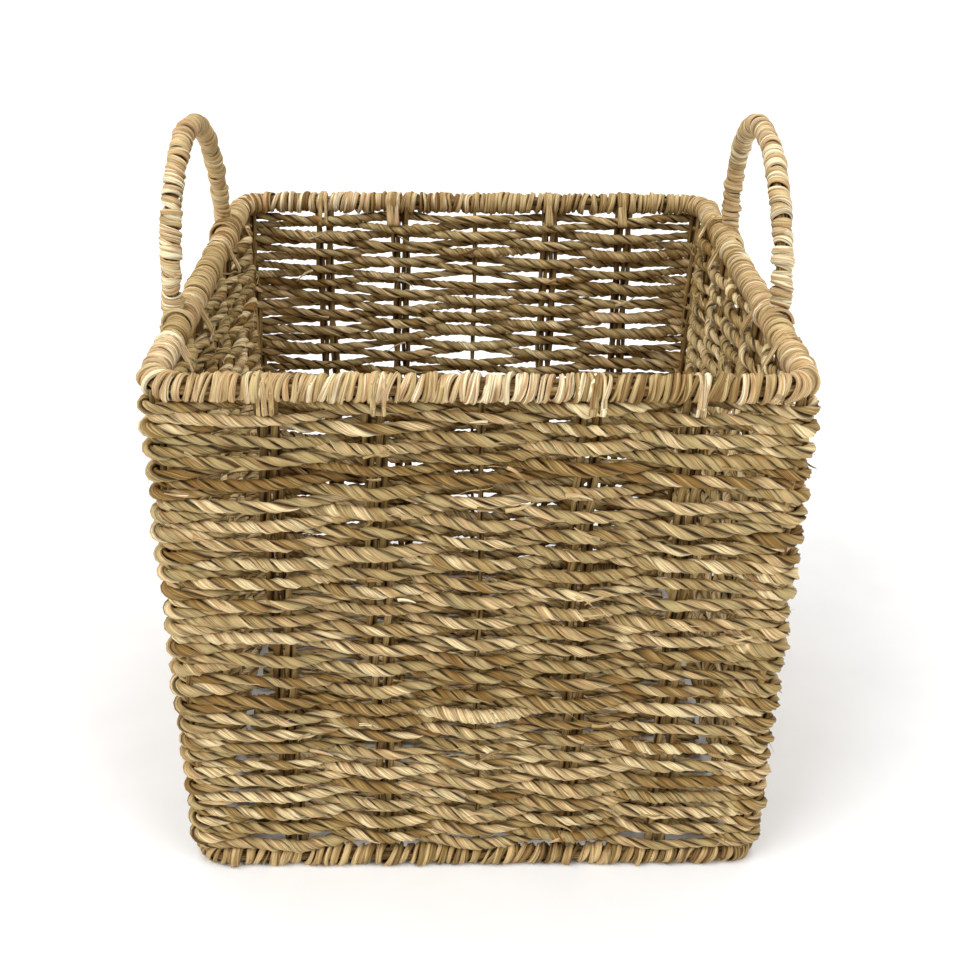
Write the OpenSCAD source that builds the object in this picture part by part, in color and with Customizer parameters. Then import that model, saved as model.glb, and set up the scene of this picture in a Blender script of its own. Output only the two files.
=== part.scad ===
// Square seagrass storage basket with two fixed arched handles.
//
// A stiff inner frame carries the weave: a rim wire, a base wire, four corner posts and five
// uprights in each wall. Twisted seagrass rope runs round the frame in plain weave, two ropes
// to a turn, each passing outside every second upright. Rim, base ring and handles are wrapped
// in seagrass strips, and a woven mat closes the bottom.
//
// Millimetres, +Z up. The origin is on the floor under the middle of the basket, the front
// wall is at -Y and the handles stand on the left (-X) and right (+X) walls.

/* [Overall] */
// outside width over the wrapped rim, left to right
body_w = 330; // [270:1:420]
// outside depth over the wrapped rim, front to back
body_d = 330; // [270:1:420]
// height from the floor to the top of the wrapped rim
body_h = 306; // [220:1:380]

/* [Rim and base ring] */
// thickness of the wrapped rim
rim_d = 14; // [11:0.5:18]
// thickness of the wrapped base ring
base_d = 12; // [10:0.5:15]
// height of the flat pressed into the underside of the base ring
base_flat = 0.6; // [0.3:0.1:1.2]
// corner radius of rim and base ring, at the middle of the ring
ring_corner_r = 16; // [14:1:22]
// thickness of the wire inside rim and base ring
wire_d = 5; // [3:0.5:5]

/* [Uprights] */
// thickness of one corded upright; four of the five in a wall stand in pairs
stake_d = 5; // [3.5:0.1:5.5]
// distance between the two uprights of a pair
stake_pair_gap = 6.6; // [5.6:0.1:7]
// thickness of the single upright in the middle of each wall
mid_stake_d = 3.2; // [2.5:0.1:3.5]
// thickness of a corner post
post_d = 5; // [4:0.5:6]

/* [Weft rope] */
// thickness of the rope through the wall
rope_t = 6.4; // [5:0.1:7]
// length of rope that lies straight against an upright
rope_rest = 12; // [11:0.1:14]

/* [Handles] */
// thickness of a wrapped handle
handle_d = 11; // [9:0.5:13]
// thickness of the wire inside a handle
handle_wire_d = 4; // [3:0.5:4]
// distance between the two legs of a handle, middle to middle
handle_span = 154; // [120:1:172]
// height of the handle's middle line above the rim's middle line
handle_rise = 86; // [84:1:110]
// how far the handles stand behind the middle of the side walls
handle_back = 8; // [0:1:20]
// angle at which a handle leans in over the basket
handle_lean = 1.5; // [0:0.5:6]
// thickness of the lashing that ties a handle foot to the rim
lashing_d = 18; // [17.5:0.5:20]
// length of one lashing along the rim
lashing_len = 26; // [20:1:32]

/* [Woven bottom] */
// thickness of a bottom rope
mat_rope_t = 5.2; // [4:0.1:6]
// space between the middles of neighbouring bottom ropes
mat_pitch = 7; // [6.4:0.1:9]
// thickness of a bottom stake
mat_stake_d = 3.6; // [3:0.1:4]

/* [Hidden] */
$fn = 48;
turns = 24;
rows = 2 * turns;
// spaces that the uprights and corner posts divide each wall into
bays = 6;
// gap between neighbouring ropes
fit = 0.1;
// how far a cutting shape runs past the face it opens
over = 1;
// how far an upright runs past the middle of each ring
seat = 1;
// how far the handle wire sinks into the rim wire where they are welded
weld = 0.4;

// heights of the two rings
base_z = base_d / 2 - base_flat;
rim_z = body_h - rim_d / 2;
weave_z0 = base_z + base_d / 2;
weave_z1 = rim_z - rim_d / 2;
row_pitch = (weave_z1 - weave_z0) / rows;
row_h = row_pitch - fit;

// half sizes: middle of the rings, then the middle plane of the woven wall inside them
ring_x = body_w / 2 - rim_d / 2;
ring_y = body_d / 2 - rim_d / 2;
// wall_in is how far the wall stands in from the rings, post_out is how far a post stands out
// from the round of the ring's corner, so that the rope round it fills the corner
wall_in = 3;
post_out = 2;
wall_x = ring_x - wall_in;
wall_y = ring_y - wall_in;
post_in = ring_corner_r * (1 - sqrt(0.5)) - post_out;
post_x = ring_x - post_in;
post_y = ring_y - post_in;
bay_x = 2 * post_x / bays;
bay_y = 2 * post_y / bays;

// how far a rope's middle stands off the wall's middle plane where it passes an upright
weave_off = (rope_t + stake_d) / 2;
// a rope passes a post this far from the post's middle line; where it cuts inside the post,
// its inner edge turns the corner this much further in
post_clear = post_d / 2 + fit;
corner_cut = 0.75 * rope_t;

// handle frame: an arch, two legs, and tails welded to the outside of the rim wire
handle_x = ring_x + (wire_d + handle_wire_d) / 2 - weld;
// a wide handle is lifted so that its arch starts above the elbows
elbow_r = 6;
arch_r = handle_span / 2;
arch_z = max(handle_rise - arch_r, elbow_r + 1);
tail_len = 10;
// thickness of a lashing on the inner face of the rim; the rest of it covers the outer shoulder
lashing_skin = 0.6;
// gap between the underside of a lashing and the top row
lashing_gap = 0.3;
lashing_x = ring_x + (lashing_d - rim_d) / 2 - lashing_skin;

// woven bottom: height of its middle plane, a rope's offset from that plane at a stake, and
// the room left between the rope ends and the wall
mat_z = 8;
mat_off = (mat_rope_t + mat_stake_d) / 2;
mat_room = 3.2;
mat_half_x = wall_x - weave_off - rope_t / 2 - mat_room;
mat_half_y = wall_y - weave_off - rope_t / 2 - mat_room;
mat_rope_w = mat_pitch - fit;
mat_ropes = floor(2 * mat_half_y / mat_pitch);

weft_colour = "#A99262";
wrap_colour = "#CDB583";
stake_colour = "#8F7A4C";
wire_colour = "#8C8F91";

function two_digits(i) = i < 10 ? str("0", i) : str(i);
function turn_name(i) = str("weft_turn_", two_digits(i));

// a round bar along X, Y or Z, centred on its middle
module bar_x(d, len) {
    rotate([0, 90, 0])
        cylinder(d = d, h = len, center = true);
}

module bar_y(d, len) {
    rotate([90, 0, 0])
        cylinder(d = d, h = len, center = true);
}

// a quarter of a round ring: radius r, bar thickness d, from +X to +Y
module quarter_bend(r, d) {
    rotate_extrude(angle = 90)
        translate([r, 0])
            circle(d = d);
}

// a closed ring of round bar with rounded corners, lying flat at height z
module square_ring(d, z) {
    translate([0, 0, z]) {
        for (s = [-1, 1]) {
            translate([0, s * ring_y, 0])
                bar_x(d, 2 * (ring_x - ring_corner_r));
            translate([s * ring_x, 0, 0])
                bar_y(d, 2 * (ring_y - ring_corner_r));
        }
        for (turn = [0, 90, 180, 270]) {
            sx = (turn == 0 || turn == 270) ? 1 : -1;
            sy = (turn < 180) ? 1 : -1;
            translate([sx * (ring_x - ring_corner_r), sy * (ring_y - ring_corner_r), 0])
                rotate([0, 0, turn])
                    quarter_bend(ring_corner_r, d);
        }
    }
}

// one bar that stands between the two rings, its ends let into both wires
module upright(d) {
    translate([0, 0, base_z - seat])
        cylinder(d = d, h = rim_z - base_z + 2 * seat);
}

// upright bars of one wall, which runs along X at depth 0: pairs at the first and second bay
// line on each side, and a single bar in the middle
module wall_bars(bay) {
    for (k = [-2, -1, 1, 2])
        for (s = [-1, 1])
            translate([k * bay + s * stake_pair_gap / 2, 0, 0])
                upright(stake_d);
    upright(mid_stake_d);
}

module front_bars(side) {
    translate([0, side * wall_y, 0])
        wall_bars(bay_x);
}

module side_bars(side) {
    translate([side * wall_x, 0, 0])
        rotate([0, 0, 90])
            wall_bars(bay_y);
}

module post_bar(sx, sy) {
    translate([sx * post_x, sy * post_y, 0])
        upright(post_d);
}

module all_uprights() {
    for (s = [-1, 1]) {
        front_bars(s);
        side_bars(s);
        for (t = [-1, 1])
            post_bar(s, t);
    }
}

// the bars of the woven bottom run front to back, in line with the front uprights
module mat_bars() {
    for (k = [-2, -1, 1, 2])
        for (s = [-1, 1])
            translate([k * bay_x + s * stake_pair_gap / 2, 0, mat_z])
                bar_y(mat_stake_d, 2 * wall_y);
    translate([0, 0, mat_z])
        bar_y(mat_stake_d, 2 * wall_y);
}

module rim_wire() {
    color(wire_colour)
        square_ring(wire_d, rim_z);
}

module base_wire() {
    color(wire_colour)
        square_ring(wire_d, base_z);
}

// the wrapping of the rim is a sleeve on the wire, open where uprights and handles enter
module rim_wrap() {
    color(wrap_colour)
        difference() {
            square_ring(rim_d, rim_z);
            square_ring(wire_d, rim_z);
            all_uprights();
            handle_bar(-1, handle_wire_d);
            handle_bar(1, handle_wire_d);
        }
}

// the base ring is wrapped the same way and has a flat underside to stand on
module base_wrap() {
    color(wrap_colour)
        difference() {
            square_ring(base_d, base_z);
            square_ring(wire_d, base_z);
            all_uprights();
            mat_bars();
            translate([-body_w, -body_d, -base_d])
                cube([2 * body_w, 2 * body_d, base_d]);
        }
}

module corner_post(sx, sy) {
    color(stake_colour)
        difference() {
            post_bar(sx, sy);
            square_ring(wire_d, rim_z);
            square_ring(wire_d, base_z);
        }
}

module front_stakes(side) {
    color(stake_colour)
        difference() {
            front_bars(side);
            square_ring(wire_d, rim_z);
            square_ring(wire_d, base_z);
        }
}

module side_stakes(side) {
    color(stake_colour)
        difference() {
            side_bars(side);
            square_ring(wire_d, rim_z);
            square_ring(wire_d, base_z);
        }
}

module base_stakes() {
    color(stake_colour)
        difference() {
            mat_bars();
            square_ring(wire_d, base_z);
            front_bars(-1);
            front_bars(1);
        }
}

// one bottom rope: a wave in the XZ plane that passes over and under the bottom stakes
function mat_wave(p, d) = concat(
    [[-mat_half_x, mat_z + d]],
    [for (k = [-2:2]) for (e = [-1, 1])
        [k * bay_x + e * rope_rest / 2, mat_z + (abs(k) % 2 == 0 ? p : -p) * mat_off + d]],
    [[mat_half_x, mat_z + d]]
);

function reversed(list) = [for (i = [len(list) - 1:-1:0]) list[i]];

module mat_rope(p) {
    rotate([90, 0, 0])
        linear_extrude(height = mat_rope_w, center = true)
            polygon(concat(mat_wave(p, -mat_rope_t / 2), reversed(mat_wave(p, mat_rope_t / 2))));
}

module base_weft() {
    color(weft_colour)
        for (i = [0:mat_ropes - 1])
            translate([0, (i - (mat_ropes - 1) / 2) * mat_pitch, 0])
                mat_rope(i % 2 == 0 ? 1 : -1);
}

// one edge of a rope along one wall, in the wall's own directions: s along it, o outwards.
// p is 1 where the rope passes outside the middle upright, d is the edge's offset.
function wall_edge(bay, p, d) = [
    for (k = [-2:2]) for (e = [-1, 1])
        [k * bay + e * rope_rest / 2, (abs(k) % 2 == 0 ? p : -p) * weave_off + d]
];

// the same edge round the next corner: inside the post when p is 1, round it when p is -1
function corner_edge(s, o, p, outer) =
    p > 0
        ? [[s - post_clear - (outer ? 0 : corner_cut), o - post_clear - (outer ? 0 : corner_cut)]]
        : [for (a = [0:22.5:90])
            [s + (post_clear + (outer ? rope_t : 0)) * sin(a),
             o + (post_clear + (outer ? rope_t : 0)) * cos(a)]];

function rope_edge(p, outer) =
    let (
        d = outer ? rope_t / 2 : -rope_t / 2,
        long_side = concat(wall_edge(bay_x, p, d), corner_edge(post_x, post_y - wall_y, p, outer)),
        deep_side = concat(wall_edge(bay_y, p, d), corner_edge(post_y, post_x - wall_x, p, outer))
    )
    concat(
        [for (q = long_side) [q[0], -wall_y - q[1]]],
        [for (q = deep_side) [wall_x + q[1], q[0]]],
        [for (q = long_side) [-q[0], wall_y + q[1]]],
        [for (q = deep_side) [-wall_x - q[1], -q[0]]]
    );

module weft_row(p) {
    difference() {
        linear_extrude(height = row_h)
            polygon(rope_edge(p, true));
        translate([0, 0, -over])
            linear_extrude(height = row_h + 2 * over)
                polygon(rope_edge(p, false));
    }
}

// one turn of the weave is two ropes, the second passing the uprights on the other side
module weft_turn(i) {
    color(weft_colour)
        translate([0, 0, weave_z0 + (i - 1) * 2 * row_pitch]) {
            weft_row(1);
            translate([0, 0, row_pitch])
                weft_row(-1);
        }
}

// the bar of a handle: arch, legs, elbows and tails, leaning in over the rim
module handle_bar(side, d) {
    translate([side * handle_x, handle_back, rim_z])
        rotate([0, -side * handle_lean, 0]) {
            translate([0, 0, arch_z])
                rotate([90, 0, 90])
                    rotate_extrude(angle = 180)
                        translate([arch_r, 0])
                            circle(d = d);
            for (s = [-1, 1]) {
                translate([0, s * arch_r, elbow_r])
                    cylinder(d = d, h = arch_z - elbow_r);
                translate([0, s * (arch_r - elbow_r), elbow_r])
                    rotate([90, 0, 90])
                        rotate([0, 0, s > 0 ? -90 : 180])
                            quarter_bend(elbow_r, d);
                translate([0, s * (arch_r - elbow_r - tail_len / 2), 0])
                    bar_y(d, tail_len);
            }
        }
}

// the upper part of the same bar, without the tails, for the wrapping
module handle_arch(side, d) {
    translate([side * handle_x, handle_back, rim_z])
        rotate([0, -side * handle_lean, 0]) {
            translate([0, 0, arch_z])
                rotate([90, 0, 90])
                    rotate_extrude(angle = 180)
                        translate([arch_r, 0])
                            circle(d = d);
            for (s = [-1, 1])
                translate([0, s * arch_r, 0])
                    cylinder(d = d, h = arch_z);
        }
}

module lashing_block(side, end) {
    translate([side * lashing_x, handle_back + end * (arch_r - lashing_len / 4), rim_z])
        bar_y(lashing_d, lashing_len);
}

module handle_core(side) {
    color(wire_colour)
        difference() {
            handle_bar(side, handle_wire_d);
            square_ring(wire_d, rim_z);
        }
}

module handle_wrap(side) {
    color(wrap_colour)
        difference() {
            handle_arch(side, handle_d);
            handle_bar(side, handle_wire_d);
            square_ring(rim_d, rim_z);
            lashing_block(side, -1);
            lashing_block(side, 1);
            translate([side * handle_x - body_w / 2, -body_d, 0])
                cube([body_w, 2 * body_d, rim_z]);
        }
}

// a lashing goes over the rim and round the tops of the uprights, and ends above the top row
module lashing(side, end) {
    color(wrap_colour)
        difference() {
            lashing_block(side, end);
            square_ring(rim_d, rim_z);
            handle_bar(side, handle_wire_d);
            all_uprights();
            translate([-body_w, -body_d, weave_z1 + lashing_gap - body_h])
                cube([2 * body_w, 2 * body_d, body_h]);
        }
}

rim_wire();
base_wire();
rim_wrap();
base_wrap();
corner_post(-1, -1);  // post_front_left
corner_post(1, -1);  // post_front_right
corner_post(-1, 1);  // post_back_left
corner_post(1, 1);  // post_back_right
front_stakes(-1);
front_stakes(1);  // back_stakes
side_stakes(-1);  // left_stakes
side_stakes(1);  // right_stakes
base_stakes();
base_weft();
handle_core(-1);  // left_handle_core
handle_core(1);  // right_handle_core
handle_wrap(-1);  // left_handle_wrap
handle_wrap(1);  // right_handle_wrap
lashing(-1, -1);  // left_lashing_front
lashing(-1, 1);  // left_lashing_back
lashing(1, -1);  // right_lashing_front
lashing(1, 1);  // right_lashing_back
for (i = [1:turns])
    weft_turn(i);
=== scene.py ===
# %% [markdown]
# # A square basket of twisted seagrass
#
# The basket is a stiff frame of wires and uprights with twisted seagrass rope woven round it. The
# CAD model already says where every rope, ring and upright runs. Here each plain CAD solid, apart
# from the wires in the rim and the base ring, is replaced by what it really is: rope of two
# twisted strands, or strips of leaf wound round a ring.
#
# Everything is made of one kind of shape, a strand: a tube with a ridged oval section that
# follows a line. What differs is the line: a weaving wave, a helix round a ring, or a curl.

# %% Load the frame
import math

import bpy
import numpy as np
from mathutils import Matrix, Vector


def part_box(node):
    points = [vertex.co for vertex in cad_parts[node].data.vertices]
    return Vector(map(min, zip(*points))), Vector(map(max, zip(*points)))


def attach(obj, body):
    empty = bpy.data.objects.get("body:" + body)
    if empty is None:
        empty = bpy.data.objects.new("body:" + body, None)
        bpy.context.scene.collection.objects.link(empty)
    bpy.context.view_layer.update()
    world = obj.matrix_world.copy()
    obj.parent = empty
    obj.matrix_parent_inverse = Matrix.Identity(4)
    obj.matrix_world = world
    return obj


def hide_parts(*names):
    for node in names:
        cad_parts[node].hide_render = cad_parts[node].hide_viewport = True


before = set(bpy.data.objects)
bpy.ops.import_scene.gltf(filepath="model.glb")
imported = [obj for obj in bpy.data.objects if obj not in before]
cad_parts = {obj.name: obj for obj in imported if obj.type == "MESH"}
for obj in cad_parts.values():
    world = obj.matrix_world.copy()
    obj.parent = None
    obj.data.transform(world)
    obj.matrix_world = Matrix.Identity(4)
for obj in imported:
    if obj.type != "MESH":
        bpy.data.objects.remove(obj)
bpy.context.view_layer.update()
MM = 0.001

# %% [markdown]
# ## Sizes
#
# All lengths below are in millimetres. The large ones come from the boxes of the CAD parts, so the
# looks can't drift away from the frame. The wall's middle plane is where the uprights stand, and
# the ropes pass it at a fixed distance on one side or the other.

# %% Read the basket's sizes from the CAD boxes
def box_mm(node):
    low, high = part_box(node)
    return np.array(low) / MM, np.array(high) / MM


rim_low, rim_high = box_mm("rim_wrap")
RIM_R = (rim_high[2] - rim_low[2]) / 2
RIM_Z = (rim_high[2] + rim_low[2]) / 2
RING = rim_high[0] - RIM_R
_, base_high = box_mm("base_wrap")
BASE_R = base_high[0] - RING
BASE_Z = base_high[2] - BASE_R
stake_low, stake_high = box_mm("back_stakes")
STAKE_D = stake_high[1] - stake_low[1]
WALL = (stake_high[1] + stake_low[1]) / 2
post_low, post_high = box_mm("post_back_right")
POST = (post_high[0] + post_low[0]) / 2
POST_D = post_high[0] - post_low[0]
POST_CLEAR = 0.1  # room between a corner post and the rope that goes round it
TURNS = 24
ROWS = 2 * TURNS
WEAVE_LOW = box_mm("weft_turn_01")[0][2]
WEAVE_TOP = box_mm(f"weft_turn_{TURNS:02d}")[1][2]
ROW_PITCH = (WEAVE_TOP - WEAVE_LOW) / ROWS
ROPE_T = box_mm("weft_turn_01")[1][0] - POST - POST_D / 2 - POST_CLEAR
WEAVE_OFF = (ROPE_T + STAKE_D) / 2
BAY = POST / 3
print(f"ring {RING:.1f}, wall {WALL:.1f}, post {POST:.1f}, bay {BAY:.2f}, row pitch {ROW_PITCH:.2f},",
      f"rope {ROPE_T:.1f}, rim at {RIM_Z:.1f}, base ring at {BASE_Z:.1f}")

# %% [markdown]
# ## Camera
#
# The basket is seen from the front and a little above, from less than a metre away, so its base
# looks clearly smaller than its rim. The camera is turned a degree to the right and tilted by
# half a degree, as a hand-set tripod is. It is made first, because everything is judged by it.

# %% Place the camera
from mathutils import Matrix, Vector

CAMERA_AT = (-11.6, -727.7, 549.1)
YAW, PITCH, ROLL = 1.14, 27.73, 0.62
LENS_MM, SENSOR_MM = 49.0, 36
SEES_TO_M = 50

yaw, pitch, roll = (math.radians(a) for a in (YAW, PITCH, ROLL))
ahead = Vector((math.sin(yaw) * math.cos(pitch), math.cos(yaw) * math.cos(pitch), -math.sin(pitch)))
level = Vector((math.cos(yaw), -math.sin(yaw), 0))
upward = level.cross(ahead)
right = math.cos(roll) * level + math.sin(roll) * upward
top = math.cos(roll) * upward - math.sin(roll) * level
camera = bpy.data.objects.new("camera", bpy.data.cameras.new("camera"))
bpy.context.scene.collection.objects.link(camera)
camera.data.lens = LENS_MM
camera.data.sensor_width = SENSOR_MM
camera.data.clip_end = SEES_TO_M
turned_to = Matrix((right, top, -ahead)).transposed().to_4x4()
camera.matrix_world = Matrix.Translation(Vector(CAMERA_AT) * MM) @ turned_to
bpy.context.scene.camera = camera
print("camera looks", tuple(round(v, 3) for v in ahead))

# %% [markdown]
# ## Random values that change smoothly
#
# Nothing in plant fibre is even, but nothing jumps either: a rope is thick here and thin a hand
# further on. `drift` makes such values. It blurs white noise over a chosen length, in a way that
# lets the end of a closed loop meet its start.

# %% Smooth random values
SEED = 640
ANY_ANGLE = 6.3  # a full turn in radians, rounded up, for angles that may be anything


def dice(*key):
    """A generator of its own for each use, so one piece can change without changing the rest."""
    return np.random.default_rng([SEED, *key])


def drift(rng, count, step, reach):
    """`count` values, `step` mm apart, that change over about `reach` mm and have a spread of 1."""
    waves = np.fft.rfft(rng.standard_normal(count))
    waves *= np.exp(-2 * (math.pi * np.fft.rfftfreq(count, step) * reach / 2) ** 2)
    waves[0] = 0
    values = np.fft.irfft(waves, count)
    return values / (values.std() + 1e-6)


print("a drift of 5 values:", drift(dice(0), 5, 1.0, 2).round(2))

# %% [markdown]
# ## A strand
#
# A strand is a leaf folded and rolled into a tube. Its section is an oval with a few ridges whose
# places wander along the strand. For the finish each point also keeps where it lies in the leaf
# (mm along and across it), which shade of grass the leaf has, and how much painted shade it gets:
# most where it faces into the rope, where the shadow between strands falls.
# First come the helpers that measure a line: its direction, and points at even distances on it.

# %% Measure a line
def unit(v):
    return v / np.linalg.norm(v, axis=-1, keepdims=True)


def along(path, closed):
    """Unit direction of the path at each of its points."""
    if closed:
        return unit(np.roll(path, -1, 0) - np.roll(path, 1, 0))
    return unit(np.gradient(path, axis=0))


def spaced(path, step, closed):
    """The same line with its points an even `step` apart, and the real spacing."""
    loop = np.vstack([path, path[:1]]) if closed else path
    far = np.concatenate([[0], np.cumsum(np.linalg.norm(np.diff(loop, axis=0), axis=1))])
    count = max(4, round(far[-1] / step))
    at = np.linspace(0, far[-1], count, endpoint=not closed)
    return np.stack([np.interp(at, far, loop[:, i]) for i in range(loop.shape[1])], 1), far[-1] / count


square = np.array([(0.0, 0.0), (1.0, 0.0), (1.0, 1.0), (0.0, 1.0)])
print("a square's outline in", len(spaced(square, 0.5, True)[0]), "even steps")

# %% [markdown]
# A real strand is one leaf, creased lengthwise and rolled. Blender could sweep a curve's bevel
# along the line, but a bevel keeps one section from end to end. Here the section is worked out
# at every point, so the ridges and the crease can wander along the leaf.

# %% A strand along a line
RIDGES = (2, 3, 5)  # how many ridges each wave puts round the section
RIDGE_REACH, CREASE_REACH = 45, 60  # mm of leaf over which ridges and crease shift
RIDGE_SHIFT, CREASE_SHIFT = 1.8, 1.5  # radians by which they shift
CREASE_DEPTH = 2.2  # times the height of a ridge
LEAF_LENGTHS = 9000  # mm of leaf that a strand's grain may start in, so that no two look alike


def strand(rng, path, out, width, thick, tint, closed=False, sides=12, ridge=0.07, painted_shade_amount=0.0,
           roll=0.0):
    """A ridged oval tube along `path`: half size `thick` towards `out` and `width` across it."""
    count = len(path)
    step = np.linalg.norm(path[1] - path[0])
    ahead = along(path, closed)
    out = unit(out - (out * ahead).sum(1, keepdims=True) * ahead)
    across = np.cross(ahead, out)
    turn = np.linspace(0, 2 * math.pi, sides, endpoint=False)
    shape = np.ones((count, sides))
    for k in RIDGES:
        phase = RIDGE_SHIFT * drift(rng, count, step, RIDGE_REACH)[:, None]
        phase = phase + rng.uniform(0, ANY_ANGLE)
        shape += ridge * rng.uniform(0.5, 1.2) * np.cos(k * turn + phase)
    crease = 1.5 * turn + CREASE_SHIFT * drift(rng, count, step, CREASE_REACH)[:, None]
    crease = crease + rng.uniform(0, ANY_ANGLE)
    shape -= CREASE_DEPTH * ridge * (1 - np.abs(np.sin(crease))) ** 2
    spin = turn + np.broadcast_to(roll, count)[:, None]
    over = shape * np.sin(spin) * np.broadcast_to(thick, count)[:, None]
    beside = shape * np.cos(spin) * np.broadcast_to(width, count)[:, None]
    points = path[:, None] + over[..., None] * out[:, None] + beside[..., None] * across[:, None]
    far = np.arange(count) * step + rng.uniform(0, LEAF_LENGTHS)
    far = np.broadcast_to(far[:, None], (count, sides))
    size = float(np.mean(width))
    fibre = np.stack([far, size * np.broadcast_to(np.cos(turn), far.shape),
                      size * np.broadcast_to(np.sin(turn), far.shape)], 2)
    # painted shade: none on the side that faces `out`, the full amount on the side that faces away,
    # into the rope, where the shadow falls
    painted_shade = np.broadcast_to(painted_shade_amount, count)[:, None] * (0.5 - 0.5 * np.sin(spin))
    tint = np.broadcast_to(np.broadcast_to(tint, count)[:, None], far.shape)
    return points, fibre, painted_shade, tint, closed


print("ridges round a strand, wave by wave:", RIDGES)

# %% [markdown]
# A weaver doesn't join strands, but a 3-D model with thousands of objects is hard to handle, so
# many strands make one piece. `faces_of` lists the quads of one tube, with flat caps on the ends
# of an open one.

# %% The faces of a strand
def faces_of(count, sides, closed, first):
    ring = np.arange(count if closed else count - 1)[:, None]
    side = np.arange(sides)[None]
    a, b = ring * sides, (ring + 1) % count * sides
    turn = (side + 1) % sides
    quads = np.stack([a + side, a + turn, b + turn, b + side], 2).reshape(-1, 4)
    if not closed:
        k = np.arange(sides // 2 - 1)
        cap = np.stack([k, sides - 1 - k, sides - 2 - k, k + 1], 1)
        quads = np.vstack([quads, cap, cap[:, ::-1] + (count - 1) * sides])
    return quads + first


print("an open tube of 3 rings with 6 sides has", len(faces_of(3, 6, False, 0)), "faces")


# %% [markdown]
# `piece` joins strands into a single mesh of quads and writes the leaf values as attributes, which
# the finish reads. It hangs the piece on a body, gives it its finish and hides the CAD parts that it
# stands for. Points that would lie below `floor` are lifted onto it, as a basket's own weight
# flattens the leaf that it stands on.

# %% Join strands into a piece
def piece(name, strands, material, slot, *replaced, floor=None):
    first, points, quads, fibres, painted_shades, tints = 0, [], [], [], [], []
    for p, fibre, painted_shade, tint, closed in strands:
        count, sides = p.shape[:2]
        quads.append(faces_of(count, sides, closed, first))
        first += count * sides
        points.append(p.reshape(-1, 3))
        fibres.append(fibre.reshape(-1, 3))
        painted_shades.append(painted_shade.ravel())
        tints.append(tint.ravel())
    points, quads = np.vstack(points), np.vstack(quads)
    if floor is not None:
        points[:, 2] = np.maximum(points[:, 2], floor)
    mesh = bpy.data.meshes.new(name)
    mesh.vertices.add(len(points))
    mesh.vertices.foreach_set("co", (points * MM).astype(np.float32).ravel())
    mesh.loops.add(quads.size)
    mesh.loops.foreach_set("vertex_index", quads.astype(np.int32).ravel())
    mesh.polygons.add(len(quads))
    mesh.polygons.foreach_set("loop_start", np.arange(0, quads.size, 4, dtype=np.int32))
    mesh.polygons.foreach_set("use_smooth", np.ones(len(quads), bool))
    mesh.update(calc_edges=True)
    mesh.attributes.new("fibre", "FLOAT_VECTOR", "POINT").data.foreach_set(
        "vector", np.vstack(fibres).astype(np.float32).ravel())
    for label, values in (("painted_shade", painted_shades), ("tint", tints)):
        mesh.attributes.new(label, "FLOAT", "POINT").data.foreach_set(
            "value", np.concatenate(values).astype(np.float32))
    mesh.materials.append(material)
    made = bpy.data.objects.new(name, mesh)
    bpy.context.scene.collection.objects.link(made)
    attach(made, "root")
    if replaced:
        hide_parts(*replaced)
    return made


print("for its finish a piece keeps, at every point: fibre, deep and tint")

# %% [markdown]
# ## Dried seagrass
#
# Seagrass is a sedge that is cut green and dried in the sun. The dry leaf is matt to satin, with
# fine lines along it, and its colour runs from brown through straw, a greenish straw and a pinkish
# tan to nearly cream, with darker stains where the leaf was damp. Two helpers come first: one
# turns a colour as people write it into what Blender works in, and one adds a shader node.

# %% Colours and nodes
def linear(code):
    """A colour written as sRGB hex, as the linear values that Blender works in."""
    values = [int(code[i:i + 2], 16) / 255 for i in (1, 3, 5)]
    return [v / 12.92 if v <= 0.04045 else ((v + 0.055) / 1.055) ** 2.4 for v in values] + [1.0]


def add(tree, kind, inputs=None, stops=None, **settings):
    """Adds a node: settings are set, inputs are set or linked, and stops fill a colour ramp."""
    made = tree.nodes.new(kind)
    for key, value in settings.items():
        setattr(made, key, value)
    for key, value in (inputs or {}).items():
        if isinstance(value, bpy.types.NodeSocket):
            tree.links.new(value, made.inputs[key])
        else:
            made.inputs[key].default_value = value
    for i, (place, code) in enumerate(stops or []):
        ramp = made.color_ramp.elements
        stop = ramp[i] if i < 2 else ramp.new(place)
        stop.position, stop.color = place, linear(code)
    return made


print("mid grey #808080 is", round(linear("#808080")[0], 3), "in linear light")

# %% [markdown]
# One recipe serves every use of the leaf. Its shade comes from the leaf's own value. Streaks,
# stains and fine lines come from noise that is stretched along the leaf. The places where a
# strand turns inwards are darkened with painted shade, which stands in for the shadow that falls
# between strands, and the fine lines are darkened towards the same colour. The fine lines are
# really 0.2 mm apart and are drawn nearly four times as wide, to show. A dry leaf is a rough
# surface without a coat, so the roughness is high, the index of refraction is a plant's wax, 1.45,
# and the gloss is weak.

# %% The recipe for dried leaf
STREAKS, STAINS, LINES = (60, 1.2), (16, 3.5), (24, 0.75)  # mm along the leaf and across it
STREAK_SHIFT = 0.34  # how far a streak moves the shade
STAIN_COLOUR, STAIN_MOST = "#936A3A", 0.8
# Painted shade: a strand's inward side is darkened towards the colour below, by up to the second
# amount on the next line, in place of the shadow between strands. The fine lines darken towards the
# same colour by the first amount.
LINE_AND_PAINTED_SHADE_COLOUR = "#331A00"
LINE_DARK, PAINTED_SHADE_DARK = 0.55, 0.88
LINE_DEEP_MM = 0.6
LEAF_ROUGH, LEAF_IOR, LEAF_GLOSS = 0.62, 1.45, 0.35


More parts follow.
